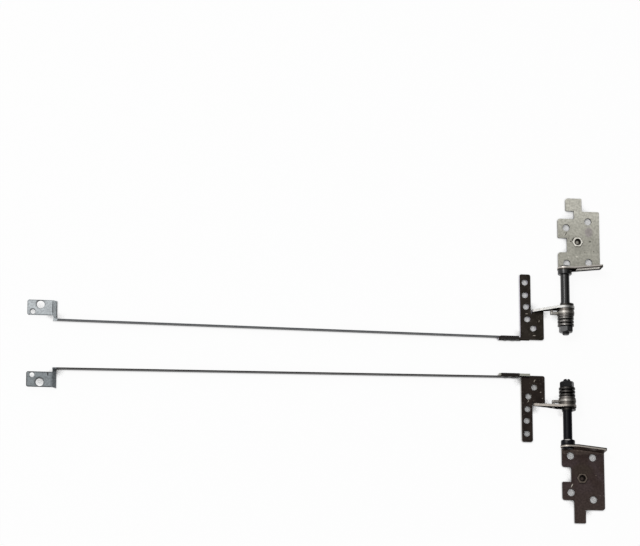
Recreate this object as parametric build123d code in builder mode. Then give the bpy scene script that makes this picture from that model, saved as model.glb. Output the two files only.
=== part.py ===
from build123d import *
import math
import os

os.makedirs("parts", exist_ok=True)

# A pair of laptop screen hinges with their screen rails, in millimetres. They lie side by
# side on a table, opened flat. Z = 0 is the table and Y = 0 is the middle plane between
# them. The left hinge is at +Y. The right hinge, at -Y, is its mirror image, apart from the
# end of its base bracket. Both shafts lie on one line along Y.
# "along" is a distance in X from the shafts, "out" is a distance in Y from the middle plane.

# Sheet metal
base_sheet = 1.0
arm_sheet = 1.1
rail_sheet = 0.5
inside_bend = 0.5

# Fits
running_fit = 0.05
key_fit = 0.03
rivet_fit = 0.02
face_play = 0.05

# Shaft
shaft_height = 4.5
flange_out = 39.2
collar_d = 6.2
collar_length = 2.2
shaft_d = 4.0
shaft_length = 12.65
shoulder_d = 4.5
shoulder_length = 0.6
key_d = 3.5
key_flats = 2.7
thread_d = 3.0
thread_past_nut = 1.1
peened_d = 5.0
peened_height = 0.7
slot_width = 0.6
slot_depth = 0.7
edge_break = 0.25

# Washers, springs and nut on the shaft, from its shoulder inwards
cam_hub_d = 4.8
cam_lobe_d = 7.4
cam_sheet = 1.1
inner_washer_d = 7.4
inner_washer_sheet = 1.2
hook_plate_d = 7.8
hook_plate_sheet = 1.0
outer_washer_d = 7.6
outer_washer_sheet = 0.6
pressure_washer_d = 7.0
pressure_washer_sheet = 0.6
disc_d = 7.2
disc_sheet = 0.4
disc_rise = 0.33
disc_count = 6
disc_fit = 0.1
disc_touch = 0.02
nut_flats = 5.5
nut_height = 2.4
nut_corner_break = 0.45

# Base bracket: along from the shaft's axis, and out from the face of its flange
base_left = -2.0
base_right = 16.8
base_length = 27.7
notch_depth = 4.1
notch_start = 8.9
notch_end = 15.5
lug_end = {"left": 24.2, "right": 23.5}
tab_left = {"left": 5.5, "right": 3.2}
tab_right = {"left": 9.0, "right": 8.2}
tab_end = 33.6
hook_left = 1.7
hook_start = 27.9
flange_lug_d = 6.6
flange_bend = 4.0
flange_lean = 1.4
flange_corner = 0.8
base_corner = 1.2
small_corner = 0.4
base_hole_d = 3.3
base_hole_left = 1.85
base_hole_right = 11.75
base_near_left_hole = 3.95
base_near_right_hole = 4.6
base_far_left_hole = 20.15
base_far_right_hole = 23.15
clinch_flats = 4.5
clinch_along = 6.9
clinch_out = 13.8
clinch_stand = 0.35
clinch_floor = 0.35
clinch_thread_d = 3.0
clinch_break = 0.25

# Screen bracket: along from the shaft's axis, and out from the outer face of its ear
strip_left = -19.65
strip_right = -14.8
strip_end = 14.85
wide_right = -9.15
wide_start = -14.55
ear_root = -14.5
ear_bend = -4.0
ear_lean = 1.1
ear_d = 8.0
arm_corner = 0.9
arm_hole_d = 2.7
arm_holes = [(-17.4, 11.2), (-17.4, 5.5), (-17.0, 0.3), (-16.5, -5.3), (-13.9, -9.4)]
bar_left = -29.7
bar_join_right = -16.0
bar_step = 0.5
bar_height = 3.0
bar_foot = 0.3
relief = 0.4

# Stop between the cam on the shaft and the ear
travel = 180
stop_tab_angle = 46
stop_tab_d = 7.4
stop_tab_height = 1.0
stop_gap = 0.2
stop_slack = 1

# Hook that makes the hook plate turn with the ear
hook_reach = 6.5
hook_arm_width = 2.4
hook_arm_drop = 1.2
hook_tab_width = 1.0
hook_tab_height = 1.6

# Rail and its foot: along from the shaft's axis, and out from the rail's inner face
rail_reach = 236.0
rail_start = -20.8
rail_height = 2.8
rail_set = 1.8
lip_left = -28.9
foot_length = 11.2
foot_run = 1.8
foot_lift = 1.9
foot_reach = 8.6
foot_gap = 1.95
foot_corner = 0.8
foot_bend = 0.5
foot_big_hole_d = 3.4
foot_big_hole = (5.75, 6.6)
foot_small_hole_d = 2.1
foot_small_hole = (2.45, 3.4)
rivet_d = 1.4
rivet_head_d = 2.2
rivet_head_height = 0.2
rivet_along = [-23.2, -26.6]

# Which way each shaft's staking slot and each nut came to rest
slot_turn = {"left": 90, "right": 0}
nut_turn = {"left": 30, "right": 0}

# Places that follow from the sizes above
shaft_x = (rail_reach - base_right) / 2
shoulder_out = flange_out - collar_length - shaft_length
cam_out = shoulder_out - shoulder_length
ear_out = cam_out - cam_sheet - face_play
inner_washer_out = ear_out - arm_sheet - face_play
hook_plate_out = inner_washer_out - inner_washer_sheet - face_play
outer_washer_out = hook_plate_out - hook_plate_sheet - face_play
pressure_washer_out = outer_washer_out - outer_washer_sheet
discs_out = pressure_washer_out - pressure_washer_sheet
disc_pitch = disc_sheet + disc_rise + disc_touch
nut_out = discs_out - disc_count * disc_pitch
shaft_end_out = nut_out - nut_height - thread_past_nut
bar_out = ear_out + wide_start - bar_step
rail_out = bar_out + arm_sheet
foot_out = rail_out + rail_set
foot_left = -rail_reach
foot_step = foot_left + foot_length
foot_right = foot_step + foot_run
base_outside_bend = base_sheet + inside_bend
arm_outside_bend = arm_sheet + inside_bend
rivet_height = (bar_foot + rail_height) / 2
bore_d = key_d + 2 * running_fit
end_corner = {"left": (hook_left, tab_end), "right": (base_right, base_length)}
cam_lobe_angle = travel - stop_tab_angle - 2 * stop_slack
shaft_axis = Axis((shaft_x, 0, shaft_height), (0, 1, 0))
near = 0.01
nearly_along = 0.9


def flat(out, height):
    """A level plane at this height, with its origin beside the shaft's axis."""
    return Plane(origin=(shaft_x, out, height))


def across(out):
    """A plane across the shaft, centred on its axis and facing the middle plane."""
    return Plane(origin=(shaft_x, out, shaft_height), x_dir=(1, 0, 0), z_dir=(0, -1, 0))


def edge_along_x(part, low_out, high_out, height):
    """The edges of a part that run along X, or nearly, between these places."""
    level = part.edges().filter_by_position(Axis.Z, height - near, height + near)
    between = level.filter_by_position(Axis.Y, low_out - near, high_out + near)
    return between.filter_by(lambda edge: abs((edge % 0.5).X) > nearly_along)


def block(left, right, low, high, mode=Mode.ADD):
    """A rectangle between two values of each sketch direction."""
    with Locations(((left + right) / 2, (low + high) / 2)):
        Rectangle(right - left, high - low, mode=mode)


def outline(*corners):
    """A face with these corners."""
    with BuildSketch() as face:
        with BuildLine():
            Polyline(*corners, close=True)
        make_face()
    return face.sketch


def upright_sheet(shaft_end, bend, far_end, lean, sheet):
    """The plan of a sheet on edge, square to the shaft up to a bend and leaning beyond it."""
    return outline(
        (shaft_end, 0),
        (bend, 0),
        (far_end, lean),
        (far_end, lean + sheet),
        (bend, sheet),
        (shaft_end, sheet),
    )


def corners_at(face, *places):
    """The corners of a face at these places."""
    return [v for v in face.vertices() if any(math.dist((v.X, v.Y), p) < near for p in places)]


def double_d(diameter, flats):
    """A circle cut to two flats, above and below the axis."""
    with BuildSketch() as face:
        Circle(diameter / 2)
        Rectangle(diameter, flats, mode=Mode.INTERSECT)
    return face.sketch


def sector(diameter, middle_angle, angle):
    """A pie slice about the axis."""
    with BuildSketch() as face:
        with BuildLine():
            rim = CenterArc((0, 0), diameter / 2, middle_angle - angle / 2, angle)
            Line((0, 0), rim @ 0)
            Line(rim @ 1, (0, 0))
        make_face()
    return face.sketch


def finish(piece, hand, name):
    """Mirror a right-hand piece, then name and write it."""
    with BuildPart() as placed:
        add(piece.part)
        if hand == "right":
            mirror(about=Plane.XZ, mode=Mode.REPLACE)
    placed.part.label = f"{hand}_{name}"
    export_step(placed.part, f"parts/{hand}_{name}.step")


def base_outline(hand):
    """The base bracket's plan, out from the face of its flange."""
    inner = base_left + notch_depth
    tab = [(tab_left[hand], tab_end), (tab_right[hand], tab_end)]
    if hand == "left":
        hook = [(tab_left[hand], hook_start), (hook_left, hook_start), (hook_left, tab_end)]
        tab = hook + tab[1:]
    return outline(
        (base_right, flange_lean),
        (flange_bend, 0),
        (base_left, 0),
        (base_left, notch_start),
        (inner, notch_start),
        (inner, notch_end),
        (base_left, notch_end),
        (base_left, lug_end[hand]),
        (tab_left[hand], lug_end[hand]),
        *tab,
        (tab_right[hand], base_length),
        (base_right, base_length),
    )


def make_base_bracket(hand):
    """The stamped plate that is screwed to the laptop's base, with the shaft's flange."""
    with BuildPart() as bracket:
        with BuildSketch(flat(flange_out, 0)) as plan:
            plate = base_outline(hand)
            add(plate)
            rounded = [(base_left, notch_start), (base_left, lug_end[hand]), end_corner[hand]]
            fillet(corners_at(plan, *rounded), base_corner)
            rest = [(v.X, v.Y) for v in plate.vertices() if v.Y > notch_start - near]
            fillet(corners_at(plan, *rest), small_corner)
        extrude(amount=base_sheet)
        with BuildPart(mode=Mode.PRIVATE) as flange:
            with BuildSketch(flat(flange_out, 0)):
                add(upright_sheet(-flange_lug_d / 2, flange_bend, base_right, flange_lean, base_sheet))
            extrude(amount=shaft_height + flange_lug_d / 2)
            with BuildSketch(across(flange_out + flange_lean + base_sheet)) as front:
                Circle(flange_lug_d / 2)
                block(0, base_right, -shaft_height, flange_lug_d / 2)
                block(base_left, 0, -shaft_height, 0)
                fillet(front.vertices().group_by(Axis.Y)[-1].sort_by(Axis.X)[-1], flange_corner)
            extrude(amount=flange_lean + base_sheet, mode=Mode.INTERSECT)
        add(flange.part)
        bend_in = flange_out + base_sheet
        fillet(edge_along_x(bracket, bend_in, bend_in + flange_lean, base_sheet), inside_bend)
        fillet(edge_along_x(bracket, flange_out, flange_out + flange_lean, 0), base_outside_bend)
        with BuildSketch(flat(flange_out, 0)):
            with Locations(
                (base_hole_left, base_near_left_hole),
                (base_hole_right, base_near_right_hole),
                (base_hole_left, base_far_left_hole),
                (base_hole_right, base_far_right_hole),
            ):
                Circle(base_hole_d / 2)
            with Locations((clinch_along, clinch_out)):
                RegularPolygon(clinch_flats / 2 + rivet_fit, 6, major_radius=False)
        extrude(amount=base_sheet, mode=Mode.SUBTRACT)
        with BuildSketch(across(flange_out + base_sheet)):
            add(double_d(shaft_d + 2 * rivet_fit, key_flats + 2 * rivet_fit))
        extrude(amount=base_sheet, mode=Mode.SUBTRACT)
    finish(bracket, hand, "base_bracket")


def make_clinch_nut(hand):
    """The hexagonal nut that is pressed into the base bracket."""
    with BuildPart() as nut:
        with BuildSketch(flat(flange_out, 0)):
            with Locations((clinch_along, clinch_out)):
                RegularPolygon(clinch_flats / 2, 6, major_radius=False)
        extrude(amount=base_sheet + clinch_stand)
        chamfer(nut.edges().group_by(Axis.Z)[-1], clinch_break)
        with BuildSketch(flat(flange_out, clinch_floor)):
            with Locations((clinch_along, clinch_out)):
                Circle(clinch_thread_d / 2)
        extrude(amount=base_sheet + clinch_stand, mode=Mode.SUBTRACT)
    finish(nut, hand, "clinch_nut")


def make_shaft(hand):
    """The turned shaft, riveted to the base bracket's flange by its peened end."""
    back = flange_out + base_sheet
    collar_in = flange_out - collar_length
    with BuildPart() as shaft:
        with BuildSketch(flat(0, shaft_height)):
            add(
                outline(
                    (0, back + peened_height),
                    (peened_d / 2 - edge_break, back + peened_height),
                    (peened_d / 2, back + peened_height - edge_break),
                    (peened_d / 2, back),
                    (shaft_d / 2, back),
                    (shaft_d / 2, flange_out),
                    (collar_d / 2, flange_out),
                    (collar_d / 2, collar_in + edge_break),
                    (collar_d / 2 - edge_break, collar_in),
                    (shaft_d / 2, collar_in),
                    (shaft_d / 2, shoulder_out),
                    (shoulder_d / 2, shoulder_out),
                    (shoulder_d / 2, cam_out),
                    (key_d / 2, cam_out),
                    (key_d / 2, nut_out),
                    (thread_d / 2, nut_out),
                    (thread_d / 2, shaft_end_out + edge_break),
                    (thread_d / 2 - edge_break, shaft_end_out),
                    (0, shaft_end_out),
                )
            )
        revolve(axis=shaft_axis)
        for start, length in ((back, base_sheet), (cam_out, cam_out - shaft_end_out)):
            with BuildSketch(across(start)):
                Rectangle(collar_d, collar_d)
                Rectangle(collar_d, key_flats, mode=Mode.SUBTRACT)
            extrude(amount=length, mode=Mode.SUBTRACT)
        with BuildSketch(across(shaft_end_out + slot_depth)):
            Rectangle(slot_width, shaft_d, rotation=slot_turn[hand])
        extrude(amount=slot_depth, mode=Mode.SUBTRACT)
    finish(shaft, hand, "shaft")


def make_screen_bracket(hand):
    """The stamped bracket on the screen's side, with the ear that turns on the shaft."""
    root_top = arm_outside_bend + relief - shaft_height
    with BuildPart() as bracket:
        with BuildSketch(flat(ear_out, 0)) as plan:
            block(strip_left, strip_right, wide_start, strip_end)
            block(strip_left, wide_right, wide_start, 0)
            block(strip_left, bar_join_right, wide_start - bar_step, wide_start)
            corners = plan.vertices().filter_by_position(Axis.Y, strip_end - near, strip_end + near)
            corners += plan.vertices().group_by(Axis.X)[-1].sort_by(Axis.Y)[:1]
            fillet(corners, arm_corner)
            cut_end = -ear_lean - arm_outside_bend - relief
            block(strip_right, ear_root, cut_end, 0, mode=Mode.SUBTRACT)
            add(outline((ear_bend, 0), (ear_root, -ear_lean), (ear_root, 0)), mode=Mode.SUBTRACT)
            for point in arm_holes:
                with Locations(point):
                    Circle(arm_hole_d / 2, mode=Mode.SUBTRACT)
        extrude(amount=arm_sheet)

        # The ear, bent up from the outer edge of the wide part
        ear_plan = upright_sheet(ear_d / 2, ear_bend, ear_root, -ear_lean, -arm_sheet)
        with BuildSketch(flat(ear_out, 0)):
            add(ear_plan)
            block(ear_root, wide_right, -ear_lean - arm_sheet, 0, mode=Mode.INTERSECT)
        extrude(amount=shaft_height + root_top)
        bend_in = ear_out - arm_sheet
        fillet(edge_along_x(bracket, bend_in - ear_lean, bend_in, arm_sheet), inside_bend)
        fillet(edge_along_x(bracket, ear_out - ear_lean, ear_out, 0), arm_outside_bend)
        with BuildPart(mode=Mode.PRIVATE) as ear:
            with BuildSketch(flat(ear_out, 0)):
                add(ear_plan)
            extrude(amount=shaft_height + ear_d / 2)
            with BuildSketch(across(ear_out)):
                Circle(ear_d / 2)
                block(ear_root, wide_right, root_top, root_top + near)
                make_hull()
                Circle(bore_d / 2, mode=Mode.SUBTRACT)
                with Locations((hook_tab_width / 2 - hook_reach, -hook_arm_drop)):
                    Rectangle(
                        hook_tab_width + 2 * key_fit, hook_tab_height + 2 * key_fit, mode=Mode.SUBTRACT
                    )
            extrude(amount=ear_lean + arm_sheet, mode=Mode.INTERSECT)
        add(ear.part)

        # The stop tab, pressed out of the ear towards the cam
        with BuildSketch(across(ear_out)):
            add(sector(stop_tab_d, -90, stop_tab_angle))
            Circle(cam_hub_d / 2 + stop_gap, mode=Mode.SUBTRACT)
        extrude(amount=-stop_tab_height)

        # The bar, bent up from the inner edge, that carries the rail
        with BuildSketch(across(rail_out)):
            block(strip_left, bar_join_right, -shaft_height, bar_height - shaft_height)
        extrude(amount=arm_sheet)
        fillet(edge_along_x(bracket, rail_out, rail_out, arm_sheet), inside_bend)
        fillet(edge_along_x(bracket, bar_out, bar_out, 0), arm_outside_bend)
        with BuildSketch(across(rail_out)):
            block(bar_left, strip_left, bar_foot - shaft_height, bar_height - shaft_height)
            for along in rivet_along:
                with Locations((along, rivet_height - shaft_height)):
                    Circle(rivet_d / 2 + rivet_fit, mode=Mode.SUBTRACT)
        extrude(amount=arm_sheet)
    finish(bracket, hand, "screen_bracket")


def make_rail(hand):
    """The long rail beside the screen, folded from thin strip, with its foot."""
    with BuildPart() as rail:
        with BuildSketch(flat(rail_out, 0)):
            add(
                outline(
                    (rail_start, 0),
                    (bar_left, 0),
                    (foot_step, rail_set),
                    (foot_step, rail_set + rail_sheet),
                    (bar_left, rail_sheet),
                    (rail_start, rail_sheet),
                )
            )
        extrude(amount=rail_height)

        # The lip that folds over the bar's top edge
        with BuildSketch(flat(bar_out, bar_height)):
            block(lip_left, rail_start, 0, arm_sheet + rail_sheet)
        extrude(amount=rail_sheet)
        with BuildSketch(flat(rail_out, rail_height)):
            block(lip_left, rail_start, 0, rail_sheet)
        extrude(amount=bar_height - rail_height)

        # The foot: a sloping neck and a level tab, folded out from the rail's lower edge
        upright = Plane(origin=(shaft_x, foot_out, 0), x_dir=(1, 0, 0), z_dir=(0, -1, 0))
        with BuildSketch(upright):
            add(outline((foot_right, 0), (foot_step, 0), (foot_step, foot_lift)))
        extrude(amount=-rail_sheet, mode=Mode.SUBTRACT)
        with BuildSketch(upright) as section:
            add(
                outline(
                    (foot_right, 0),
                    (foot_right, rail_sheet),
                    (foot_step, foot_lift + rail_sheet),
                    (foot_left, foot_lift + rail_sheet),
                    (foot_left, foot_lift),
                    (foot_step, foot_lift),
                )
            )
            bend = section.vertices().filter_by_position(Axis.X, foot_step - near, foot_step + near)
            fillet(bend.sort_by(Axis.Y)[0], foot_bend)
            fillet(bend.sort_by(Axis.Y)[-1], foot_bend + rail_sheet)
        extrude(amount=-foot_reach)
        with BuildSketch(flat(foot_out, 0)):
            block(foot_left, foot_step, 0, foot_gap)
            with Locations((foot_left + foot_big_hole[0], foot_big_hole[1])):
                Circle(foot_big_hole_d / 2)
            with Locations((foot_left + foot_small_hole[0], foot_small_hole[1])):
                Circle(foot_small_hole_d / 2)
        extrude(amount=rail_height, mode=Mode.SUBTRACT)
        corners = rail.edges().filter_by(Axis.Z).group_by(Axis.X)[0]
        fillet(corners, foot_corner)
        with BuildSketch(across(rail_out)):
            for along in rivet_along:
                with Locations((along, rivet_height - shaft_height)):
                    Circle(rivet_d / 2 + rivet_fit)
        extrude(amount=-rail_sheet, mode=Mode.SUBTRACT)
    finish(rail, hand, "rail")


def make_rail_rivets(hand):
    """The two small rivets that hold the rail to the bar."""
    with BuildPart() as rivets:
        for start, length, diameter in (
            (rail_out + rail_sheet + rivet_head_height, rivet_head_height, rivet_head_d),
            (rail_out + rail_sheet, rail_sheet + arm_sheet, rivet_d),
            (bar_out, rivet_head_height, rivet_head_d),
        ):
            with BuildSketch(across(start)):
                for along in rivet_along:
                    with Locations((along, rivet_height - shaft_height)):
                        Circle(diameter / 2)
            extrude(amount=length)
    finish(rivets, hand, "rail_rivets")


def make_stop_cam(hand):
    """The washer keyed to the shaft whose lobe stops the ear at both ends of its travel."""
    with BuildPart() as cam:
        with BuildSketch(across(cam_out)):
            Circle(cam_hub_d / 2)
            add(sector(cam_lobe_d, 0, cam_lobe_angle))
            add(double_d(key_d + 2 * key_fit, key_flats + 2 * key_fit), mode=Mode.SUBTRACT)
        extrude(amount=cam_sheet)
    finish(cam, hand, "stop_cam")


def make_keyed_washer(hand, name, out, diameter, thickness):
    """A washer that can't turn on the shaft."""
    with BuildPart() as washer:
        with BuildSketch(across(out)):
            Circle(diameter / 2)
            add(double_d(key_d + 2 * key_fit, key_flats + 2 * key_fit), mode=Mode.SUBTRACT)
        extrude(amount=thickness)
    finish(washer, hand, name)


def make_hook_plate(hand):
    """The friction plate that turns with the ear, by a tab bent through the ear's slot."""
    with BuildPart() as plate:
        with BuildSketch(across(hook_plate_out)) as face:
            low = -hook_arm_drop - hook_arm_width / 2
            block(-hook_reach, 0, low, low + hook_arm_width)
            fillet(face.vertices().group_by(Axis.X)[0], small_corner)
            Circle(hook_plate_d / 2)
            Circle(bore_d / 2, mode=Mode.SUBTRACT)
        extrude(amount=hook_plate_sheet)
        with BuildSketch(across(ear_out)):
            with Locations((hook_tab_width / 2 - hook_reach, -hook_arm_drop)):
                Rectangle(hook_tab_width, hook_tab_height)
        extrude(amount=ear_out - hook_plate_out)
    finish(plate, hand, "hook_plate")


def make_disc_spring(hand, count):
    """One conical spring washer. Each faces the other way from the one before it."""
    top = discs_out - count * disc_pitch
    bore = key_d / 2 + disc_fit
    bore_drop = disc_rise * (count % 2)
    rim_drop = disc_rise - bore_drop
    with BuildPart() as disc:
        with BuildSketch(flat(0, shaft_height)):
            add(
                outline(
                    (bore, top - bore_drop),
                    (disc_d / 2, top - rim_drop),
                    (disc_d / 2, top - rim_drop - disc_sheet),
                    (bore, top - bore_drop - disc_sheet),
                )
            )
        revolve(axis=shaft_axis)
    finish(disc, hand, f"disc_spring_{count + 1}")


def make_lock_nut(hand):
    """The hexagonal nut that loads the springs, with its outer corners turned off."""
    corner_d = nut_flats / math.cos(math.radians(30))
    with BuildPart() as nut:
        with BuildSketch(across(nut_out)):
            RegularPolygon(nut_flats / 2, 6, major_radius=False, rotation=nut_turn[hand])
        extrude(amount=nut_height)
        with BuildSketch(flat(0, shaft_height)):
            add(
                outline(
                    (thread_d / 2 + rivet_fit, nut_out),
                    (corner_d / 2, nut_out),
                    (corner_d / 2, nut_out - nut_height + nut_corner_break),
                    (corner_d / 2 - nut_corner_break, nut_out - nut_height),
                    (thread_d / 2 + rivet_fit, nut_out - nut_height),
                )
            )
        revolve(axis=shaft_axis, mode=Mode.INTERSECT)
    finish(nut, hand, "lock_nut")


for hand in ("left", "right"):
    make_base_bracket(hand)
    make_clinch_nut(hand)
    make_shaft(hand)
    make_screen_bracket(hand)
    make_rail(hand)
    make_rail_rivets(hand)
    make_stop_cam(hand)
    make_keyed_washer(hand, "inner_washer", inner_washer_out, inner_washer_d, inner_washer_sheet)
    make_hook_plate(hand)
    make_keyed_washer(hand, "outer_washer", outer_washer_out, outer_washer_d, outer_washer_sheet)
    make_keyed_washer(
        hand, "pressure_washer", pressure_washer_out, pressure_washer_d, pressure_washer_sheet
    )
    for count in range(disc_count):
        make_disc_spring(hand, count)
    make_lock_nut(hand)
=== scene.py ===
import math

import bmesh
import bpy
from mathutils import Matrix, Vector


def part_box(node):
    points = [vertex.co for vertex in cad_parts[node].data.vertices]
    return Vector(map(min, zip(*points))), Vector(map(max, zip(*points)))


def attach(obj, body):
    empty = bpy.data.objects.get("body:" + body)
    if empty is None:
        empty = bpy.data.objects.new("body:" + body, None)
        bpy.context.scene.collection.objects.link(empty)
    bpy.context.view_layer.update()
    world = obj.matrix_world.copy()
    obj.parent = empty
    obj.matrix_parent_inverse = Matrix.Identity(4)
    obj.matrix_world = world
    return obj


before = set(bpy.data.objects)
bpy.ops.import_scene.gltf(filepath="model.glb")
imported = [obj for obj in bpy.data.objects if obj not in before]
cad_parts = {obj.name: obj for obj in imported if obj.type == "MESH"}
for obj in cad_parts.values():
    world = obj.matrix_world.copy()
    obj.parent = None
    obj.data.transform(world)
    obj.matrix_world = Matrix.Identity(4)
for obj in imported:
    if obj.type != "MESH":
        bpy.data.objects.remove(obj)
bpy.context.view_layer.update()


# The view. The pair lies on a white table and is seen from high above, from a little
# towards the right hinge and the rails' feet, through a long lens.
camera_place = Vector((-0.2183, -0.3071, 1.4519))
camera_aim = Vector((0.0012, 0.0354, 0))
camera_roll = math.radians(0.14)
camera_lens = 194
camera_sensor = 36


def place_camera():
    """Put the camera where the photograph was taken from."""
    data = bpy.data.cameras.new("camera")
    data.lens = camera_lens
    data.sensor_width = camera_sensor
    camera = bpy.data.objects.new("camera", data)
    bpy.context.scene.collection.objects.link(camera)
    ahead = (camera_aim - camera_place).normalized()
    level = ahead.cross(Vector((0, 1, 0))).normalized()
    turned = level * math.cos(camera_roll) - level.cross(ahead) * math.sin(camera_roll)
    up = turned.cross(ahead)
    axes = Matrix((turned, up, -ahead)).transposed()
    camera.matrix_world = Matrix.Translation(camera_place) @ axes.to_4x4()
    bpy.context.scene.camera = camera
    bpy.context.scene.view_settings.view_transform = "Standard"


place_camera()


# The table and the light. The table is a white sheet with a faint soft shadow, and with painted
# shade: a thin grey line beside the metal, and grey at the bottom of the screw holes, darker where
# a hole's rim hides the lamp and under the right hinge. The room is bright overhead and dark low on
# each side, and a round lamp stands high on the left.
table_size = 6.0
table_drop = 0.00002
table_colour = "#FFFFFF"
shadow_share = 0.07
line_reach = 0.0007
line_open = (0.4, 0.95)
line_grey = 0.5
hole_reach = 0.004
hole_rim_open = (0.45, 0.9)
hole_lit_open = (0.2, 0.75)
hole_wide_open = (0.92, 0.86)
hole_light_from = (-0.6, 0.3, 0.74)
hole_ways = ((1, 0, 0), (-1, 0, 0), (0, 1, 0), (0, -1, 0))
hole_dark = 0.08
hole_bright = 0.52
right_hole_shade_share = 0.5
between_hinges = 0.002
room_middle = Vector((-0.57, 0.14, 0.81))
room_dark = 0.14
room_bright = 1.0
room_dark_until = 0.41
room_bright_from = 0.76
lamp_place = Vector((-0.85, 0.5, 1.45))
lamp_size = 0.6
lamp_power = 8.0


def linear(colour):
    """The linear values of an sRGB hex colour."""
    parts = [int(colour[i:i + 2], 16) / 255 for i in (1, 3, 5)]
    return tuple(p / 12.92 if p <= 0.04045 else ((p + 0.055) / 1.055) ** 2.4 for p in parts)


def paint(colour):
    """The value of a colour socket."""
    return (*linear(colour), 1.0)


def add_node(tree, kind, sockets=None, output=None, **settings):
    """Add a node with its settings, set or link its inputs, and return the output in use."""
    node = tree.nodes.new(kind)
    for name, value in settings.items():
        setattr(node, name, value)
    for key, value in (sockets or {}).items():
        if isinstance(value, bpy.types.NodeSocket):
            tree.links.new(value, node.inputs[key])
        else:
            node.inputs[key].default_value = value
    if output:
        return node.outputs[output]
    return next((socket for socket in node.outputs if socket.enabled), None)


def new_material(name):
    """An empty node material."""
    material = bpy.data.materials.new(name)
    material.use_nodes = True
    material.node_tree.nodes.clear()
    return material, material.node_tree


def open_share(tree, reach, way=None):
    """How much of what a point sees within this reach is open, about its face or this way."""
    sockets = {"Distance": reach}
    if way:
        sockets["Normal"] = add_node(tree, "ShaderNodeCombineXYZ", dict(zip("XYZ", way)))
    return add_node(tree, "ShaderNodeAmbientOcclusion", sockets, "AO", samples=6)


def place_on(tree, axis, both_ways=False):
    """One coordinate of the place on the piece, in metres, or without its sign."""
    place = add_node(tree, "ShaderNodeTexCoord", output="Object")
    value = add_node(tree, "ShaderNodeSeparateXYZ", {0: place}, axis)
    if both_ways:
        value = add_node(tree, "ShaderNodeMath", {0: value}, operation="ABSOLUTE")
    return value


def place_share(tree, axis, start, end, low=0.0, high=1.0, both_ways=False):
    """From low to high as the place on the piece goes from start to end along an axis."""
    return add_node(
        tree, "ShaderNodeMapRange",
        {"Value": place_on(tree, axis, both_ways), "From Min": start, "From Max": end,
         "To Min": low, "To Max": high},
    )


def where_all(tree, *shares):
    """1 where each of these shares is 1."""
    whole = shares[0]
    for share in shares[1:]:
        whole = add_node(tree, "ShaderNodeMath", {0: whole, 1: share}, operation="MULTIPLY")
    return whole


def painted_table_shade(tree):
    """1 on the open table, less where shade is painted: in a thin line beside the metal and in the
    bottom of a hole.
    """
    near = open_share(tree, line_reach)
    line = add_node(
        tree, "ShaderNodeMapRange",
        {"Value": near, "From Min": line_open[0], "From Max": line_open[1],
         "To Min": line_grey},
    )
    # Painted shadow where a hole's rim hides the lamp's way.
    lit = add_node(
        tree, "ShaderNodeMapRange",
        {"Value": open_share(tree, hole_reach, hole_light_from), "From Min": hole_lit_open[0],
         "From Max": hole_lit_open[1], "To Min": hole_dark, "To Max": hole_bright},
    )
    # Painted shade: the holes under the right hinge are greyer.
    hinge = place_share(tree, "Y", -between_hinges, between_hinges, right_hole_shade_share)
    rim = add_node(
        tree, "ShaderNodeMapRange",
        {"Value": near, "From Min": hole_rim_open[0], "From Max": hole_rim_open[1],
         "To Min": line_grey},
    )
    widest = 0.0
    for way in hole_ways:
        widest = add_node(
            tree, "ShaderNodeMath", {0: widest, 1: open_share(tree, hole_reach, way)},
            operation="MAXIMUM",
        )
    in_hole = add_node(
        tree, "ShaderNodeMapRange",
        {"Value": widest, "From Min": hole_wide_open[0], "From Max": hole_wide_open[1]},
    )
    hole = where_all(tree, lit, hinge, rim)
    return add_node(tree, "ShaderNodeMix", {"Factor": in_hole, "A": line, "B": hole})


def make_table():
    """The white sheet under the pair."""
    half = table_size / 2
    corners = [(-half, -half, -table_drop), (half, -half, -table_drop)]
    corners += [(half, half, -table_drop), (-half, half, -table_drop)]
    mesh = bpy.data.meshes.new("table")
    mesh.from_pydata(corners, [], [(0, 1, 2, 3)])
    table = bpy.data.objects.new("table", mesh)
    bpy.context.scene.collection.objects.link(table)
    material, tree = new_material("white_sheet")
    seen = add_node(
        tree, "ShaderNodeMath",
        {0: add_node(tree, "ShaderNodeLightPath", output="Is Camera Ray"),
         1: add_node(tree, "ShaderNodeLightPath", output="Is Glossy Ray")},
        operation="MAXIMUM",
    )
    share = add_node(tree, "ShaderNodeMath", {0: seen, 1: 1 - shadow_share}, operation="MULTIPLY")
    shaded = add_node(tree, "ShaderNodeBsdfDiffuse", {"Color": paint(table_colour)})
    white = add_node(
        tree, "ShaderNodeEmission",
        {"Color": paint(table_colour), "Strength": painted_table_shade(tree)},
    )
    sheet = add_node(tree, "ShaderNodeMixShader", {0: share, 1: shaded, 2: white})
    add_node(tree, "ShaderNodeOutputMaterial", {"Surface": sheet})
    mesh.materials.append(material)


def light_room():
    """The room's soft light, and the lamp."""
    world = bpy.data.worlds.new("room")
    bpy.context.scene.world = world
    world.use_nodes = True
    tree = world.node_tree
    tree.nodes.clear()
    way = add_node(tree, "ShaderNodeTexCoord", output="Generated")
    towards = add_node(
        tree, "ShaderNodeVectorMath", {0: way, 1: room_middle}, operation="DOT_PRODUCT"
    )
    level = add_node(
        tree, "ShaderNodeMapRange",
        {"Value": towards, "From Min": room_dark_until, "From Max": room_bright_from,
         "To Min": room_dark, "To Max": room_bright},
        interpolation_type="SMOOTHSTEP",
    )
    seen = add_node(tree, "ShaderNodeLightPath", output="Is Camera Ray")
    strength = add_node(tree, "ShaderNodeMix", {"Factor": seen, "A": level, "B": 1.0})
    sky = add_node(
        tree, "ShaderNodeBackground", {"Color": paint(table_colour), "Strength": strength}
    )
    add_node(tree, "ShaderNodeOutputWorld", {"Surface": sky})
    lamp = bpy.data.lights.new("lamp", "AREA")
    lamp.shape = "DISK"
    lamp.size = lamp_size
    lamp.energy = lamp_power
    holder = bpy.data.objects.new("lamp", lamp)
    bpy.context.scene.collection.objects.link(holder)
    holder.location = lamp_place
    holder.rotation_euler = (-lamp_place).to_track_quat("-Z", "Y").to_euler()


make_table()
light_room()
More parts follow.
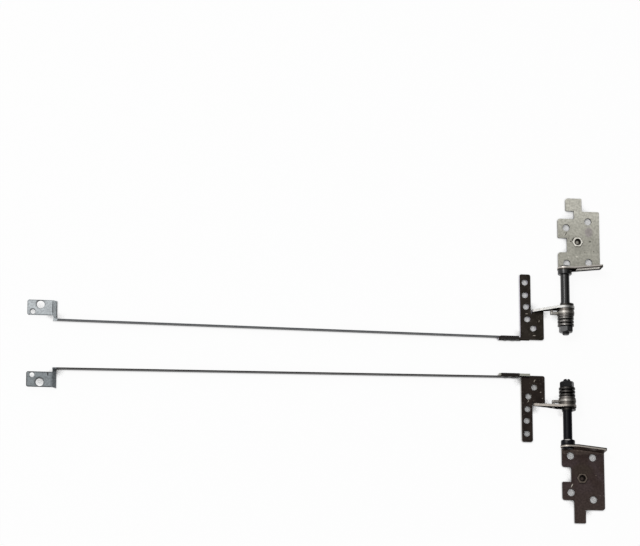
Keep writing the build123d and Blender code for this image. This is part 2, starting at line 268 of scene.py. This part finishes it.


# The base brackets are stamped steel sheet with a satin nickel plating, dark on the right
# hinge. The flange that holds the shaft is bent up; its inner face is painted black as shade, but
# for a strip of painted reflection of the table, and its top edge and the plate beside its bend
# carry painted light and shade.
bevel_radius = 0.00010
# The marks of tumbling are about 0.05 mm wide, too fine to show, and are drawn 0.3 mm wide.
grain_mm = 0.3
grain_range = (0.3, 0.7)
grain_relief = 0.00003
blotch_mm = 5.0
blotch_range = (0.38, 0.62)
mottle_mm = 1.0
mottle_range = (0.35, 0.65)
mottle_share = 0.4
mark_fade = (1.25, 0.75)
edge_turn = (0.65, 0.35)
upright_turn = (0.3, 0.8)
base_sheet_mm = 1.0
far_end = (0.054, 0.066)
by_the_bend = (0.0430, 0.0408)
bent_up = (0.0020, 0.0024)
flange_face = 0.0392
flange_bend = 0.1136
flange_end = 0.1264
flange_lean = 0.0014
top_skin = (0.0002, 0.0007)
inner_skin = (0.0004, 0.0002)
# Where the painted reflection of the table lies on the flange's inner face.
reflection_from = 0.1147
reflection_to = 0.1252
reflection_low = 0.0038
reflection_high = 0.0072
reflection_fade = 0.0002
sheet_rough = (0.36, 0.5)
black_face_gloss = 0.0
# The black of painted shade, on the flange's inner face and on the screen brackets' bent-up faces.
painted_shade_black = "#0E0D0C"


def wear_texture(tree, size_mm, detail=3.0, stretch=(1, 1, 1)):
    """A noise of patches of about this size, shortened by the stretch along each axis."""
    place = add_node(tree, "ShaderNodeTexCoord", output="Object")
    scaled = add_node(
        tree, "ShaderNodeVectorMath", {0: place, 1: Vector(stretch)}, operation="MULTIPLY"
    )
    return add_node(
        tree, "ShaderNodeTexNoise", {"Vector": scaled, "Scale": 1000 / size_mm, "Detail": detail}
    )


def patch_share(tree, size_mm, start, end, most=1.0, detail=3.0, stretch=(1, 1, 1)):
    """How much a place is in one of the patches of this size, up to the most."""
    patches = wear_texture(tree, size_mm, detail, stretch)
    return add_node(
        tree, "ShaderNodeMapRange",
        {"Value": patches, "From Min": start, "From Max": end, "To Max": most},
    )


def lay_coats(tree, ground, coats):
    """A colour with coats of other colours over it in turn, each by its share."""
    colour = paint(ground) if isinstance(ground, str) else ground
    for share, coat in coats:
        over = paint(coat) if isinstance(coat, str) else coat
        colour = add_node(
            tree, "ShaderNodeMix", {"Factor": share, "A": colour, "B": over}, data_type="RGBA"
        )
    return colour


def facing(tree, axis, both_ways=False):
    """How much a face looks along this axis, from -1 to 1, or without its sign."""
    normal = add_node(tree, "ShaderNodeNewGeometry", output="True Normal")
    value = add_node(tree, "ShaderNodeSeparateXYZ", {0: normal}, axis)
    if both_ways:
        value = add_node(tree, "ShaderNodeMath", {0: value}, operation="ABSOLUTE")
    return value


def sheared_edges(tree, sheet_mm):
    """1 on the sheared edges of a stamped piece that lies flat and is bent up to face along Y."""
    bent = place_share(tree, "Z", (sheet_mm + 0.1) / 1000, (sheet_mm + 0.5) / 1000)
    skin = add_node(
        tree, "ShaderNodeMix",
        {"Factor": bent, "A": facing(tree, "Z", True), "B": facing(tree, "Y", True)},
    )
    return add_node(
        tree, "ShaderNodeMapRange",
        {"Value": skin, "From Min": edge_turn[0], "From Max": edge_turn[1]},
    )


def finish_metal(tree, colour, rough, metallic=1.0, gloss=0.5, bump=0.15):
    """The metal surface itself, with its edges rounded and its grain from smooth to dull."""
    grain = wear_texture(tree, grain_mm, 2.0)
    dullness = add_node(
        tree, "ShaderNodeMapRange",
        {"Value": grain, "From Min": grain_range[0], "From Max": grain_range[1],
         "To Min": rough[0], "To Max": rough[1]},
    )
    soft_edge = add_node(tree, "ShaderNodeBevel", {"Radius": bevel_radius}, samples=4)
    relief = add_node(
        tree, "ShaderNodeBump",
        {"Height": grain, "Strength": bump, "Distance": grain_relief, "Normal": soft_edge},
    )
    surface = add_node(
        tree, "ShaderNodeBsdfPrincipled",
        {"Base Color": colour, "Roughness": dullness, "Normal": relief, "Metallic": metallic,
         "Specular IOR Level": gloss},
    )
    add_node(tree, "ShaderNodeOutputMaterial", {"Surface": surface})


def dress(node, material):
    """Give a CAD node its finish."""
    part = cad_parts[node]
    part.data.materials.clear()
    part.data.materials.append(material)


def mark(tree, along, out, long_mm, wide_mm, turn=0.0):
    """1 on a small oval mark at this place of a flat face, long along its turn, in degrees."""
    place = add_node(tree, "ShaderNodeTexCoord", output="Object")
    moved = add_node(
        tree, "ShaderNodeMapping",
        {"Vector": place, "Location": Vector((along, out, 0)) / 1000,
         "Rotation": (0, 0, math.radians(turn)),
         "Scale": Vector((long_mm / 2000, wide_mm / 2000, 1))},
        vector_type="TEXTURE",
    )
    far = add_node(tree, "ShaderNodeVectorMath", {0: moved}, operation="LENGTH")
    return add_node(
        tree, "ShaderNodeMapRange",
        {"Value": far, "From Min": mark_fade[0], "From Max": mark_fade[1]},
    )


def into_flange(tree):
    """How deep a place lies in the flange's sheet, from its inner face, in metres."""
    lean = place_share(tree, "X", flange_bend, flange_end, 0.0, flange_lean)
    face = add_node(tree, "ShaderNodeMath", {0: lean, 1: flange_face}, operation="ADD")
    out = place_on(tree, "Y", True)
    return add_node(tree, "ShaderNodeMath", {0: out, 1: face}, operation="SUBTRACT")


def plated_sheet(name, inks, patch, marks):
    """Nickel-plated steel sheet, satin from tumbling: even, with soft clouds and a fine mottle, and
    painted light and shade on the flange and beside its bend.
    """
    material, tree = new_material(name)
    skin = lay_coats(tree, inks["skin"], [
        (patch_share(tree, blotch_mm, *blotch_range), inks["clouds"]),
        (place_share(tree, "Y", *far_end, both_ways=True), inks["far end"]),
        # Beside the bend: painted shade on the left hinge, painted light on the right.
        (place_share(tree, "Y", *by_the_bend, both_ways=True), inks["shading by the bend"]),
        (mark(tree, *patch), inks["patch"]),
        (patch_share(tree, mottle_mm, *mottle_range, mottle_share), inks["mottle"]),
        *((mark(tree, *spot), ink) for spot, ink in marks),
    ])
    depth = into_flange(tree)
    # Painted light and shade across the flange's top edge: light on its outer side, shaded on its
    # inner side.
    across_top = add_node(
        tree, "ShaderNodeMapRange",
        {"Value": depth, "From Min": top_skin[0], "From Max": top_skin[1]},
    )
    top = lay_coats(tree, inks["shaded top"], [(across_top, inks["lit top"])])
    edge = lay_coats(tree, inks["edge"], [(place_share(tree, "Z", *bent_up), top)])
    upright = add_node(
        tree, "ShaderNodeMapRange",
        {"Value": facing(tree, "Y", True), "From Min": upright_turn[0],
         "From Max": upright_turn[1]},
    )
    at_face = add_node(
        tree, "ShaderNodeMapRange",
        {"Value": depth, "From Min": inner_skin[0], "From Max": inner_skin[1]},
    )
    inner = where_all(tree, upright, at_face)
    # The inner face is painted black as shade, but for a strip of painted reflection of the table.
    painted_reflection_strip = where_all(
        tree,
        place_share(tree, "X", reflection_from - reflection_fade, reflection_from + reflection_fade / 2),
        place_share(tree, "X", reflection_to + reflection_fade, reflection_to - reflection_fade / 2),
        place_share(tree, "Z", reflection_low - reflection_fade, reflection_low + reflection_fade),
        place_share(tree, "Z", reflection_high + reflection_fade, reflection_high - reflection_fade),
    )
    inside = lay_coats(tree, painted_shade_black, [(painted_reflection_strip, inks["painted_reflection_strip"])])
    colour = lay_coats(tree, skin, [(sheared_edges(tree, base_sheet_mm), edge), (inner, inside)])
    metallic_share = add_node(tree, "ShaderNodeMapRange", {"Value": inner, "To Min": 1.0, "To Max": 0.0})
    finish_metal(tree, colour, sheet_rough, metallic_share, black_face_gloss)
    return material


dress("left_base_bracket", plated_sheet(
    "satin_nickel",
    {
        "skin": "#C7C5B9", "clouds": "#B8B6AB", "far end": "#E2E0D4", "shading by the bend": "#A5A398",
        "patch": "#B7B0AE", "mottle": "#77756B", "edge": "#5E5A52", "lit top": "#CCC6BF",
        "shaded top": "#4A443F", "painted_reflection_strip": "#FFFAF2",
    },
    (121.6, 57.6, 4.4, 3.4, 90),
    (
        # The first two marks are a stamped tick, painted as a shade beside a highlight; the rest are
        # light and dark spots.
        ((111.1, 56.5, 1.9, 0.5, 55), "#2B2A26"),
        ((110.6, 56.2, 1.7, 0.4, 55), "#DAD7CC"),
        ((115.2, 54.9, 1.8, 0.6, 25), "#4C4A43"),
        ((114.1, 54.0, 0.8, 0.5, 70), "#5A5850"),
        ((113.4, 53.2, 0.6, 0.4, 0), "#4C4A43"),
        ((112.4, 54.6, 0.5, 0.4, 0), "#6E6C63"),
        ((123.6, 48.9, 0.4, 0.4, 0), "#5A5850"),
        ((118.3, 61.4, 0.5, 0.4, 0), "#8C8A80"),
        ((116.0, 46.3, 0.9, 0.7, 0), "#E0DDD0"),
        ((122.1, 53.3, 0.9, 0.7, 0), "#6E6C63"),
        ((119.6, 48.2, 0.5, 0.4, 0), "#7A776D"),
        ((112.2, 46.0, 0.6, 0.5, 0), "#DAD7CC"),
    ),
))
dress("right_base_bracket", plated_sheet(
    "dark_nickel",
    {
        "skin": "#524646", "clouds": "#483C39", "far end": "#504541", "shading by the bend": "#86776F",
        "patch": "#4A403A", "mottle": "#211B19", "edge": "#2A2421", "lit top": "#B4ADA4",
        "shaded top": "#1C1917", "painted_reflection_strip": "#332D29",
    },
    (116.4, -49.5, 9.0, 6.0, 0),
    (
        ((111.8, -56.3, 1.8, 0.45, 60), "#B9B2A8"),
        ((122.6, -51.6, 0.6, 0.4, 0), "#6B625A"),
        ((124.3, -60.5, 0.5, 0.4, 0), "#6B625A"),
    ),
))


# The clinch nut in the middle of each base bracket is a small hexagonal nut of plated steel,
# pressed into the sheet, with a bright turned rim and painted shade in its blind thread, deepest on
# the walls and lighter on the bottom that faces up.
nut_face = 0.0013
nut_fade = 0.0002
lit_bottom_mm = 1.3
floor_turn = (0.5, 0.9)
nut_rough = (0.28, 0.4)


def clinch_steel(name, place, rim, wall, bottom):
    """Plated steel: a turned rim that shines, and painted shade in the thread, deepest on its walls
    and lighter on the bottom that faces up.
    """
    material, tree = new_material(name)
    level = add_node(
        tree, "ShaderNodeMapRange",
        {"Value": facing(tree, "Z"), "From Min": floor_turn[0], "From Max": floor_turn[1]},
    )
    lit_bottom = where_all(tree, level, mark(tree, *place, lit_bottom_mm, lit_bottom_mm))
    deep = lay_coats(tree, wall, [(lit_bottom, bottom)])
    below = place_share(tree, "Z", nut_face, nut_face - nut_fade)
    finish_metal(tree, lay_coats(tree, rim, [(below, deep)]), nut_rough)
    return material


def thread_tree():
    """A right-hand screw thread up the Z axis: a bead wound round it, left out across a slot."""
    tree = bpy.data.node_groups.new("screw_thread", "GeometryNodeTree")
    kinds = {
        "Radius": "Float", "Pitch": "Float", "Turns": "Float", "Ridge": "Float",
        "Steps": "Int", "Slot Way": "Vector", "Slot Half Width": "Float",
        "Slot Depth": "Float", "Turned": "Vector", "Place": "Vector", "Steel": "Material",
    }
    for label, kind in kinds.items():
        tree.interface.new_socket(label, in_out="INPUT", socket_type="NodeSocket" + kind)
    tree.interface.new_socket("Thread", in_out="OUTPUT", socket_type="NodeSocketGeometry")
    given = tree.nodes.new("NodeGroupInput").outputs
    length = add_node(
        tree, "ShaderNodeMath", {0: given["Pitch"], 1: given["Turns"]}, operation="MULTIPLY"
    )
    coil = add_node(
        tree, "GeometryNodeCurveSpiral",
        {"Resolution": given["Steps"], "Rotations": given["Turns"],
         "Start Radius": given["Radius"], "End Radius": given["Radius"],
         "Height": length, "Reverse": True},
    )
    line = add_node(tree, "GeometryNodeCurveToMesh", {"Curve": coil})
    place = add_node(tree, "GeometryNodeInputPosition")
    along_slot = add_node(
        tree, "ShaderNodeVectorMath", {0: place, 1: given["Slot Way"]}, operation="DOT_PRODUCT"
    )
    off_middle = add_node(tree, "ShaderNodeMath", {0: along_slot}, operation="ABSOLUTE")
    in_width = add_node(
        tree, "ShaderNodeMath", {0: off_middle, 1: given["Slot Half Width"]},
        operation="LESS_THAN",
    )
    height = add_node(tree, "ShaderNodeSeparateXYZ", {0: place}, "Z")
    in_depth = add_node(
        tree, "ShaderNodeMath", {0: height, 1: given["Slot Depth"]}, operation="LESS_THAN"
    )
    cut = add_node(
        tree, "GeometryNodeDeleteGeometry",
        {"Geometry": line, "Selection": where_all(tree, in_width, in_depth)}, domain="POINT",
    )
    path = add_node(tree, "GeometryNodeMeshToCurve", {"Mesh": cut})
    bead = add_node(
        tree, "GeometryNodeCurvePrimitiveCircle", {"Resolution": 8, "Radius": given["Ridge"]}
    )
    wound = add_node(
        tree, "GeometryNodeCurveToMesh",
        {"Curve": path, "Profile Curve": bead, "Fill Caps": True},
    )
    moved = add_node(
        tree, "GeometryNodeTransform",
        {"Geometry": wound, "Rotation": given["Turned"], "Translation": given["Place"]},
    )
    real = add_node(tree, "GeometryNodeRealizeInstances", {"Geometry": moved})
    steel = add_node(
        tree, "GeometryNodeSetMaterial", {"Geometry": real, "Material": given["Steel"]}
    )
    add_node(tree, "NodeGroupOutput", {"Thread": steel})
    return tree


screw_thread = thread_tree()


def wind_thread(name, sizes):
    """Wind a thread of these sizes, make it a plain mesh, and let it ride on the base's side."""
    form = bpy.data.objects.new(name + "_form", bpy.data.meshes.new(name + "_form"))
    bpy.context.scene.collection.objects.link(form)
    winding = form.modifiers.new("winding", "NODES")
    winding.node_group = screw_thread
    keys = {item.name: item.identifier for item in screw_thread.interface.items_tree}
    for label, value in sizes.items():
        winding[keys[label]] = value
    made = bpy.context.evaluated_depsgraph_get()
    mesh = bpy.data.meshes.new_from_object(form.evaluated_get(made), depsgraph=made)
    form.modifiers.clear()
    bpy.data.objects.remove(form)
    shape = bmesh.new()
    shape.from_mesh(mesh)
    bmesh.ops.recalc_face_normals(shape, faces=shape.faces)
    shape.to_mesh(mesh)
    shape.free()
    mesh.name = name
    mesh.shade_smooth()
    piece = bpy.data.objects.new(name, mesh)
    bpy.context.scene.collection.objects.link(piece)
    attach(piece, "base_side")


thread_radius = 0.0015
thread_pitch = 0.0005
thread_steps = 40
thread_ridge = 0.00012
nut_thread_low = 0.00047
nut_turns = 1.5
dress("left_clinch_nut", clinch_steel(
    "bright_nut_steel", (116.4, 52.9), "#F0EDE2", "#2B2824", "#A3A097",
))
dress("right_clinch_nut", clinch_steel(
    "dull_nut_steel", (116.4, -53.1), "#665C54", "#1E1A18", "#463D39",
))
for hand in ("left", "right"):
    low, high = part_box(f"{hand}_clinch_nut")
    middle = (low + high) / 2
    wind_thread(f"{hand}_clinch_thread", {
        "Radius": thread_radius, "Pitch": thread_pitch, "Turns": nut_turns,
        "Ridge": thread_ridge, "Steps": thread_steps, "Slot Way": (1.0, 0.0, 0.0),
        "Slot Half Width": 0.0, "Slot Depth": 0.0, "Turned": (0.0, 0.0, 0.0),
        "Place": (middle.x, middle.y, nut_thread_low),
        "Steel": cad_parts[f"{hand}_clinch_nut"].data.materials[0],
    })


# Each shaft is turned from steel and blackened, with an oiled skin that gives a soft streak.
# Its end has a rolled thread for the lock nut, and a slot across it that was staked open.
shaft_axis = Vector((0.1096, 0, 0.0045))
bead_radius = 0.00144
end_break = 0.00028
end_turns = 1.6
slot_half_width = 0.00042
slot_depth = 0.0007
shaft_reach_mm = 0.6
corner_open = (0.3, 0.8)
flat_turn = (0.6, 0.95)
away_from_lamp_turn = (0.1, 0.65)
away_from_lamp_share = 0.15
turned_bump = 0.06


def turned_steel(name, colour, dark, rough, reach_mm, bright_share=1.0, metallic=1.0, gloss=0.5,
                 marks=()):
    """Turned or stamped steel, with painted shade in its corners, on its flat faces and on its side
    away from the lamp.
    """
    material, tree = new_material(name)
    # Painted shade in corners and between parts.
    open_part = add_node(
        tree, "ShaderNodeMapRange",
        {"Value": open_share(tree, reach_mm / 1000), "From Min": corner_open[0],
         "From Max": corner_open[1]},
    )
    round_part = add_node(
        tree, "ShaderNodeMapRange",
        {"Value": facing(tree, "Y", True), "From Min": flat_turn[0], "From Max": flat_turn[1],
         "To Min": 1.0, "To Max": 0.0},
    )
    # Painted shade on the side away from the lamp.
    lamp_side = add_node(
        tree, "ShaderNodeMapRange",
        {"Value": facing(tree, "X"), "From Min": away_from_lamp_turn[0], "From Max": away_from_lamp_turn[1],
         "To Min": bright_share, "To Max": bright_share * away_from_lamp_share},
    )
    shown = lay_coats(tree, dark, [
        (where_all(tree, open_part, round_part, lamp_side), colour),
        *((mark(tree, *spot), ink) for spot, ink in marks),
    ])
    finish_metal(tree, shown, (rough - 0.04, rough + 0.05), metallic, gloss, turned_bump)
    return material


def black_oxide(name, colour, dark, rough, reach_mm, gloss, marks=()):
    """Blackened steel, an oxide skin under a film of oil: black with a soft, narrow gloss, and the
    painted shade of turned steel.
    """
    return turned_steel(
        name, colour, dark, rough, reach_mm, metallic=0.0, gloss=gloss, marks=marks
    )


dress("left_shaft", black_oxide(
    "blackened_shaft", "#171717", "#0A0A0A", rough=0.25, reach_mm=shaft_reach_mm, gloss=0.45,
))
dress("right_shaft", black_oxide(
    "blackened_shaft_blue", "#0A0B11", "#06060A", rough=0.32, reach_mm=shaft_reach_mm, gloss=0.1,
    # The first mark is a painted highlight on the collar's rim; the second is a grey mark beside it.
    marks=(((108.8, -37.2, 2.2, 0.5, 0), "#C4C0BC"), ((108.2, -38.2, 1.2, 0.5, 0), "#4A4848")),
))
for hand, out, across_slot in (("left", 1, (0.0, 1.0, 0.0)), ("right", -1, (1.0, 0.0, 0.0))):
    low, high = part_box(f"{hand}_shaft")
    shaft_end = low.y if hand == "left" else high.y
    wind_thread(f"{hand}_shaft_thread", {
        "Radius": bead_radius, "Pitch": thread_pitch, "Turns": end_turns,
        "Ridge": thread_ridge, "Steps": thread_steps, "Slot Way": across_slot,
        "Slot Half Width": slot_half_width, "Slot Depth": slot_depth - end_break,
        "Turned": (-out * math.pi / 2, 0.0, 0.0),
        "Place": (shaft_axis.x, shaft_end + out * end_break, shaft_axis.z),
        "Steel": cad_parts[f"{hand}_shaft"].data.materials[0],
    })


# The screen brackets are stamped from steel sheet and blackened. The edges that face the rail,
# towards the lamp, are painted light, the light tops of the ear and bar are painted highlight, and
# the faces of the bent-up ear and bar are painted black as shade.
screen_sheet_mm = 1.1
ear_from = (0.0945, 0.0955)
dust_mm = 0.7
dust_range = (0.6, 0.72)
dust_share = 0.5
left_turn = (-0.4, -0.8)
bent_turn = (0.5, 0.8)
uncut_range = (0.5, 0.0)
scuff = "#5A534C"
scratch = "#A39C91"


def blackened_sheet(name, inks, marks):
    """Blackened steel sheet, nearly black and satin, with painted light on lamp-facing edges and
    light tops, and painted shade on bent-up faces.
    """
    material, tree = new_material(name)
    cut = sheared_edges(tree, screen_sheet_mm)
    leftward = add_node(
        tree, "ShaderNodeMapRange",
        {"Value": facing(tree, "X"), "From Min": left_turn[0], "From Max": left_turn[1]},
    )
    high_edge = lay_coats(tree, inks["bar edge"], [
        (place_share(tree, "X", *ear_from), inks["lit ear edge"]),
    ])
    edge = lay_coats(tree, inks["clouds"], [
        (leftward, inks["lit left edge"]), (place_share(tree, "Z", *bent_up), high_edge),
    ])
    bent_face = add_node(
        tree, "ShaderNodeMapRange",
        {"Value": facing(tree, "Y", True), "From Min": bent_turn[0], "From Max": bent_turn[1]},
    )
    uncut = add_node(
        tree, "ShaderNodeMapRange",
        {"Value": cut, "From Min": uncut_range[0], "From Max": uncut_range[1]},
    )
    # Painted shade: the faces of the bent-up ear and bar are painted black.
    shaded_upright = where_all(tree, bent_face, uncut)
    colour = lay_coats(tree, inks["skin"], [
        (patch_share(tree, blotch_mm, *blotch_range), inks["clouds"]),
        (patch_share(tree, dust_mm, *dust_range, dust_share, detail=2.0), scuff),
        *((mark(tree, *spot), scratch) for spot in marks),
        (cut, edge),
        (shaded_upright, painted_shade_black),
    ])
    metallic_share = add_node(tree, "ShaderNodeMapRange", {"Value": shaded_upright, "To Min": 1.0, "To Max": 0.0})
    finish_metal(tree, colour, sheet_rough, metallic_share, black_face_gloss)
    return material


dress("left_screen_bracket", blackened_sheet(
    "blackened_sheet",
    {
        "skin": "#38332E", "clouds": "#2C2823", "lit left edge": "#E2DDEB", "lit ear edge": "#9A9996",
        "bar edge": "#37322E",
    },
    (
        (92.9, 19.7, 1.0, 0.4, 0), (96.1, 10.0, 1.3, 0.35, 0),
        (98.4, 16.5, 0.9, 0.3, 70),
    ),
))
dress("right_screen_bracket", blackened_sheet(
    "blackened_sheet_brown",
    {
        "skin": "#352E2A", "clouds": "#2B2522", "lit left edge": "#B4AFA8", "lit ear edge": "#7C7771",
        "bar edge": "#A6A79C",
    },
    (
        (95.9, -10.3, 1.3, 0.35, 60), (93.0, -19.4, 1.2, 0.35, 60),
        (98.6, -15.3, 0.6, 0.35, 0), (99.3, -18.1, 0.4, 0.3, 0),
    ),
))


# The rails are folded from thin plated strip and stand on edge. The foot is folded flat and is
# painted lighter than the long wall, which faces sideways, as light against shade; the neck between
# them is painted lighter on the left hinge and darker on the right. Two small rivets hold the other
# end.
foot_bend = -0.1156
foot_bend_fade = 0.0007
neck_end = -0.1134
lip_from = 0.0807
strip_fade = 0.0002
foot_middle = (-0.1208, 0.015725)
foot_half = (0.0056, 0.003325)
foot_rim = 0.0005
foot_wall_turn = (0.6, 0.3)
top_turn = (0.4, 0.8)
# Rolling leaves lines of about 0.1 mm, too fine to show, drawn as streaks of 1.2 mm by 8 mm.
rolling_mm = 1.2
rolling_range = (0.35, 0.65)
rolling_stretch = (0.15, 1, 1)
rolling_share = 0.18
rolling_grey = "#202224"
spangle_mm = 0.8
spangle_range = (0.4, 0.62)
spangle_share = 0.3
strip_metallic = (0.45, 0.85)
strip_rough = (0.34, 0.5)


def foot_edge(tree):
    """1 on the sheared edges of the foot and its holes, and in a thin band along the foot's border.
    """
    past_rim = -1.0
    places = (place_on(tree, "X"), place_on(tree, "Y", True))
    for place, middle, half in zip(places, foot_middle, foot_half):
        off = add_node(tree, "ShaderNodeMath", {0: place, 1: middle}, operation="SUBTRACT")
        off = add_node(tree, "ShaderNodeMath", {0: off}, operation="ABSOLUTE")
        past = add_node(tree, "ShaderNodeMath", {0: off, 1: half}, operation="SUBTRACT")
        past_rim = add_node(tree, "ShaderNodeMath", {0: past_rim, 1: past}, operation="MAXIMUM")
    rim = add_node(
        tree, "ShaderNodeMapRange",
        {"Value": past_rim, "From Min": -foot_rim, "From Max": -foot_rim / 3},
    )
    wall = add_node(
        tree, "ShaderNodeMapRange",
        {"Value": facing(tree, "Z", True), "From Min": foot_wall_turn[0],
         "From Max": foot_wall_turn[1]},
    )
    return add_node(tree, "ShaderNodeMath", {0: rim, 1: wall}, operation="MAXIMUM")


def rail_strip(name, inks, marks):
    """Zinc-plated steel strip with a bluish grey skin, streaked along by the rolling; its flat foot
    is painted lighter than its sideways wall, as light against shade.
    """
    material, tree = new_material(name)
    foot = lay_coats(tree, inks["foot"], [
        (foot_edge(tree), inks["rim"]),
        # The neck is painted lighter on the left hinge and darker on the right, as light and shade.
        (place_share(tree, "X", foot_bend - foot_bend_fade, foot_bend), inks["neck"]),
        (patch_share(tree, spangle_mm, *spangle_range, spangle_share), inks["wall"]),
        *((mark(tree, *spot), inks["wall"]) for spot in marks),
    ])
    upward = add_node(
        tree, "ShaderNodeMapRange",
        {"Value": facing(tree, "Z"), "From Min": top_turn[0], "From Max": top_turn[1]},
    )
    rail = lay_coats(tree, inks["wall"], [
        (upward, inks["edge"]),
        (place_share(tree, "X", lip_from - strip_fade, lip_from), inks["lip"]),
    ])
    streaks = patch_share(
        tree, rolling_mm, *rolling_range, rolling_share, stretch=rolling_stretch
    )
    colour = lay_coats(tree, foot, [
        (place_share(tree, "X", neck_end - strip_fade, neck_end), rail),
        (streaks, rolling_grey),
    ])
    plated = place_share(tree, "X", neck_end - strip_fade, neck_end, *strip_metallic)
    finish_metal(tree, colour, strip_rough, plated)
    return material


dress("left_rail", rail_strip(
    "plated_strip",
    {
        "foot": "#CDD3D6", "rim": "#9BA1A4", "neck": "#D2DADD", "wall": "#3E3F41",
        "edge": "#5E6063", "lip": "#2E2B29",
    },
    (
        # Painted shade: two thin lines along the bends of the neck, and two round marks that darken
        # one side of the rims of the foot's holes; the small mark is a dark spot.
        (-115.5, 15.7, 0.4, 7.0, 0), (-113.6, 15.0, 0.4, 7.0, 0), (-125.6, 12.6, 0.8, 0.5, 40),
        (-120.85, 17.3, 3.8, 3.8, 0), (-124.1, 14.0, 2.5, 2.5, 0),
    ),
))
dress("right_rail", rail_strip(
    "plated_strip_dull",
    {
        "foot": "#939A9D", "rim": "#34383B", "neck": "#7E8488", "wall": "#2E2C2C",
        "edge": "#363433", "lip": "#26221F",
    },
    (
        # The two round marks are painted shadow on one side of the rims of the foot's holes.
        (-117.2, -13.4, 0.5, 1.6, 0), (-117.6, -12.5, 1.2, 0.3, 0),
        (-120.85, -16.8, 3.9, 3.9, 0), (-124.0, -13.75, 2.3, 2.3, 0),
    ),
))
for hand in ("left", "right"):
    dress(f"{hand}_rail_rivets", black_oxide(
        f"{hand}_rivet_steel", "#2E2B29", "#141312", rough=0.4, reach_mm=0.5, gloss=0.5,
    ))


# The stack on each shaft: a stop cam, friction washers, the hook plate with its arm, six disc
# springs and the lock nut. All are hardened steel, with painted shade between them, in their
# corners and on the side away from the lamp, and the right hinge's springs are the darkest.
stack_steel = {
    "stop_cam": ("cam", "#3C3936", "#191716"),
    "inner_washer": ("dark_washer", "#69645F", "#211F1D"),
    "hook_plate": ("hook", "#A7A39D", "#3E3B38"),
    "outer_washer": ("friction_washer", "#726E6A", "#242120"),
    "pressure_washer": ("pressure_washer", "#7F7B77", "#242120"),
}
stack_rough = 0.4
stack_reach_mm = 0.4
spring_rough = 0.36
spring_reach_mm = 0.3
spring_count = 6
nut_oxide_rough = 0.34
nut_reach_mm = 0.5
for hand, bright_share, spring_share in (("left", 0.95, 0.95), ("right", 0.7, 0.25)):
    for piece, (finish, colour, dark) in stack_steel.items():
        dress(f"{hand}_{piece}", turned_steel(
            f"{hand}_{finish}_steel", colour, dark, stack_rough, stack_reach_mm, bright_share,
        ))
    spring = turned_steel(
        f"{hand}_spring_steel", "#73706D", "#181614", spring_rough, spring_reach_mm, spring_share,
    )
    for count in range(1, spring_count + 1):
        dress(f"{hand}_disc_spring_{count}", spring)
dress("left_lock_nut", black_oxide(
    "nut_oxide", "#303030", "#0E0E0E", nut_oxide_rough, nut_reach_mm, gloss=0.6,
))
dress("right_lock_nut", black_oxide(
    "nut_oxide_dark", "#101011", "#080808", nut_oxide_rough, nut_reach_mm, gloss=0.25,
))
